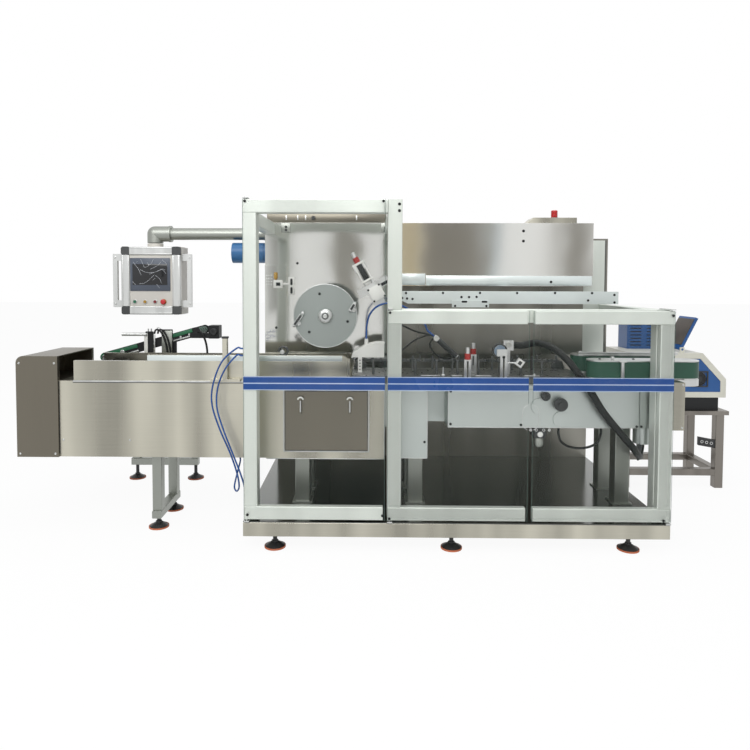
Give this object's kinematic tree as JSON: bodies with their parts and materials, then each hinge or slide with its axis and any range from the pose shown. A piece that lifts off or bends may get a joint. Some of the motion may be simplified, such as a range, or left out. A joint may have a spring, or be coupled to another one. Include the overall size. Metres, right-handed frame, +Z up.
{
  "type": "automatic cartoner with hot-melt unit",
  "caption": "Horizontal cartoning machine: product infeed, rotary carton feeder behind hinged clear guard doors, lugged carton bed, green discharge belts, control pendant and hot-melt unit.",
  "frame": {"origin": "on the floor, under the middle of the machine's overall box", "axes": "+X along the machine from the infeed to the discharge, +Y from the doors to the rear, +Z up"},
  "size_m": [4.697, 1.609, 1.984],
  "materials": {
    "foot_black": "dark grey moulded foot cup",
    "foot_rubber": "orange-red rubber ring",
    "stainless": "brushed stainless sheet",
    "tray_mirror": "dark reflective stainless tray",
    "pale_steel": "pale grey painted tube",
    "guard_tube": "pale grey-green guard tube",
    "bright_metal": "machined bright metal",
    "polished": "polished stainless sheet",
    "aluminium_rail": "drawn aluminium rail",
    "beacon_red": "red lamp lens",
    "collar_red": "red clamp collar",
    "melter_cream": "cream powder coat",
    "corner_grey": "dark grey moulded corner",
    "plate_grey": "light grey machined plate",
    "chain_steel": "dark oiled chain and track",
    "belt_green": "dark green belt",
    "cover_steel": "darker brushed stainless cover",
    "black_metal": "black painted frame",
    "guard_white": "white sheet guard",
    "motor_blue": "blue enamel",
    "melter_blue": "blue powder coat",
    "clear_pane": "clear acrylic sheet",
    "disc_grey": "bead-blasted grey disc",
    "pendant_grey": "grey enamelled case",
    "black_plastic": "black moulded handwheel",
    "hose_black": "black heated hose cover",
    "air_blue": "blue air tube"
  },
  "bodies": {
    "machine": {"levelling_feet": "foot_black", "foot_rubbers": "foot_rubber", "base_rails": "stainless", "drip_tray": "tray_mirror", "bed_legs": "pale_steel", "guard_frame": "guard_tube", "door_pivots": "bright_metal", "rear_cabinet": "stainless", "feeder_housing": "polished", "hood": "polished", "magazine_rails": "aluminium_rail", "beacon": "stainless", "beacon_lamp": "beacon_red", "bed_housing": "stainless", "access_panel": "cover_steel", "carton_bed": "plate_grey", "front_plates": "plate_grey", "carton_track": "chain_steel", "carton_chain": "chain_steel", "setting_units": "bright_metal", "clamp_collars": "collar_red", "discharge_belts": "belt_green", "discharge_frames": "bright_metal", "infeed_body": "stainless", "infeed_guides": "stainless", "infeed_end_cover": "cover_steel", "infeed_buckets": "chain_steel", "infeed_stands": "pale_steel", "leaflet_frame": "black_metal", "leaflet_belts": "belt_green", "pendant_arm": "pale_steel", "feeder_bearing": "bright_metal", "adjuster_unit": "bright_metal", "glue_guard": "guard_white", "side_box": "stainless", "feeder_motor": "motor_blue", "table_top": "stainless", "table_legs": "stainless", "melter_plinth": "black_metal", "melter_body": "melter_cream", "melter_panel": "melter_blue", "melter_tower": "melter_blue", "glue_hose": "hose_black", "air_tube_a": "air_blue", "air_tube_b": "air_blue", "feeder_hose": "air_blue", "bed_cable": "hose_black"},
    "left_door": {"left_door_frame": "guard_tube", "left_door_pane": "clear_pane"},
    "middle_door": {"middle_door_frame": "guard_tube", "middle_door_pane": "clear_pane"},
    "right_door": {"right_door_frame": "guard_tube", "right_door_pane": "clear_pane"},
    "carton_rotor": {"feeder_disc": "disc_grey", "feeder_heads": "bright_metal"},
    "pendant": {"pendant_case": "pendant_grey", "pendant_frame": "bright_metal", "pendant_corners": "corner_grey"},
    "setting_wheel": {"handwheel": "black_plastic"},
    "tank_lid": {"melter_lid": "melter_blue"}
  },
  "joints": [
    {"name": "left_door_hinge", "type": "hinge", "parent": "machine", "child": "left_door", "pos_m": [-0.9375, -0.7855, 1], "axis": [0, 0, -1], "range_deg": [0, 100]},
    {"name": "middle_door_hinge", "type": "hinge", "parent": "machine", "child": "middle_door", "pos_m": [-0.1435, -0.7855, 0.7], "axis": [0, 0, -1], "range_deg": [0, 100]},
    {"name": "right_door_hinge", "type": "hinge", "parent": "machine", "child": "right_door", "pos_m": [1.3885, -0.7855, 0.7], "axis": [0, 0, 1], "range_deg": [0, 100]},
    {"name": "rotor_spin", "type": "hinge", "parent": "machine", "child": "carton_rotor", "pos_m": [-0.5195, -0.2955, 1.294], "axis": [0, 1, 0], "continuous": true},
    {"name": "pendant_swivel", "type": "hinge", "parent": "machine", "child": "pendant", "pos_m": [-1.7095, 0.0245, 1.77], "axis": [0, 0, 1], "range_deg": [-90, 90]},
    {"name": "wheel_spin", "type": "hinge", "parent": "machine", "child": "setting_wheel", "pos_m": [0.8265, -0.6755, 0.806], "axis": [0, 1, 0], "continuous": true},
    {"name": "lid_hinge", "type": "hinge", "parent": "machine", "child": "tank_lid", "pos_m": [2.0225, 0.4845, 1.012], "axis": [0, -1, 0], "range_deg": [0, 116]}
  ]
}
